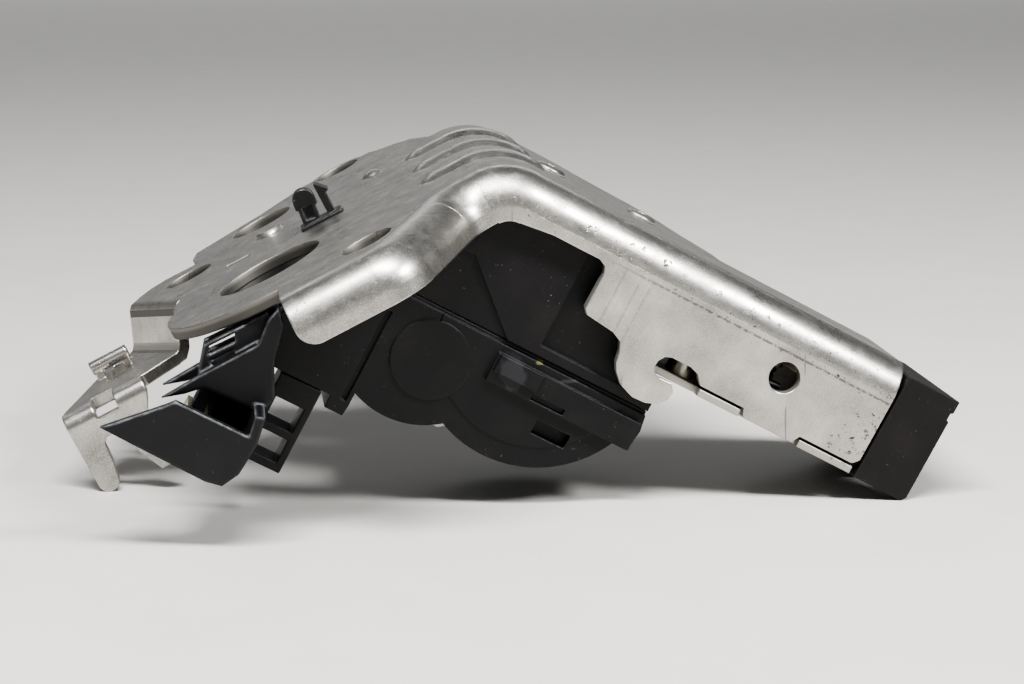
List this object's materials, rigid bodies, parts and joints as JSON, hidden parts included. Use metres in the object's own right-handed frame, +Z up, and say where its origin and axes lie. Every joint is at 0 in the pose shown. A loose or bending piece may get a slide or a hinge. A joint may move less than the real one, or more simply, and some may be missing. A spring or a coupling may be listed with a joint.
{
  "type": "boot lid lock",
  "caption": "Boot lid lock: a bent zinc-plated bracket with a rotary catch in its leg, a motor drive housing, a plug socket and a two-pronged clip.",
  "frame": {"origin": "centre of the part's box on the bench it rests on", "axes": "+X along the part towards the catch mouth, +Y across the fixing plate away from the rolled edge seen in the picture, +Z up"},
  "size_m": [0.1482, 0.1102, 0.0576],
  "materials": {
    "zinc_sheet": "satin",
    "zinc_plate": "satin",
    "cap_plastic": "matte",
    "buffer_rubber": "matte",
    "latch_steel": "satin",
    "coat_plastic": "matte",
    "pivot_steel": "satin",
    "spring_steel": "satin",
    "switch_plastic": "matte",
    "button_plastic": "matte",
    "slider_plastic": "matte",
    "wheel_plastic": "matte",
    "axle_steel": "satin",
    "motor_steel": "satin",
    "pinion_brass": "satin",
    "housing_plastic": "matte",
    "cover_plastic": "matte",
    "screw_steel": "satin",
    "socket_plastic": "matte",
    "pin_brass": "satin",
    "frame_plastic": "matte",
    "clip_plastic": "matte"
  },
  "bodies": {
    "lock_body": {"mounting_bracket": "zinc_sheet", "base_plate": "zinc_plate", "end_cap": "cap_plastic", "mouth_buffer": "buffer_rubber", "catch_pivot": "pivot_steel", "catch_spring": "spring_steel", "pawl_pivot": "pivot_steel", "pawl_spring": "spring_steel", "microswitch": "switch_plastic", "wheel_axle": "axle_steel", "motor": "motor_steel", "gear_housing": "housing_plastic", "housing_cover": "cover_plastic", "housing_screws": "screw_steel", "connector_socket": "socket_plastic", "contact_pins": "pin_brass", "carrier_frame": "frame_plastic", "harness_clip": "clip_plastic"},
    "catch_body": {"catch": "latch_steel", "catch_coat": "coat_plastic"},
    "pawl_body": {"pawl": "latch_steel"},
    "slider_body": {"release_slider": "slider_plastic"},
    "wheel_body": {"drive_wheel": "wheel_plastic"},
    "pinion_body": {"motor_pinion": "pinion_brass"},
    "button_body": {"switch_button": "button_plastic"}
  },
  "joints": [
    {"name": "catch_turn", "type": "hinge", "parent": "lock_body", "child": "catch_body", "pos_m": [0.04575, -0.01445, 0.02456], "axis": [0.4726, 0, 0.8813], "range_deg": [-65, 0], "stiffness_Nm_per_rad": 0.01, "springref_deg": 20.05},
    {"name": "drive_wheel_turn", "type": "hinge", "parent": "lock_body", "child": "wheel_body", "pos_m": [0.00448, -0.00545, 0.02717], "axis": [0, 1, 0], "range_deg": [0, 36.86]},
    {"name": "pawl_turn", "type": "hinge", "parent": "lock_body", "child": "pawl_body", "pos_m": [0.03341, -0.02695, 0.03118], "axis": [0.4726, 0, 0.8813], "range_deg": [-13.2, 0]},
    {"name": "slider_travel", "type": "slide", "parent": "lock_body", "child": "slider_body", "axis": [0.8813, 0, -0.4726], "range_m": [0, 0.00194]},
    {"name": "pinion_turn", "type": "hinge", "parent": "lock_body", "child": "pinion_body", "pos_m": [-0.01343, -0.00545, 0.02535], "axis": [0, 1, 0], "range_deg": [-130, 0]},
    {"name": "switch_press", "type": "slide", "parent": "lock_body", "child": "button_body", "axis": [-0.4726, 0, -0.8813], "range_m": [0, 0.0008], "stiffness_N_per_m": 150}
  ],
  "couplings": [
    {"joint": "pawl_turn", "follows": "drive_wheel_turn", "ratio": -0.35272},
    {"joint": "slider_travel", "follows": "drive_wheel_turn", "m_per_rad": 0.0029485},
    {"joint": "pinion_turn", "follows": "drive_wheel_turn", "ratio": -3.5}
  ]
}
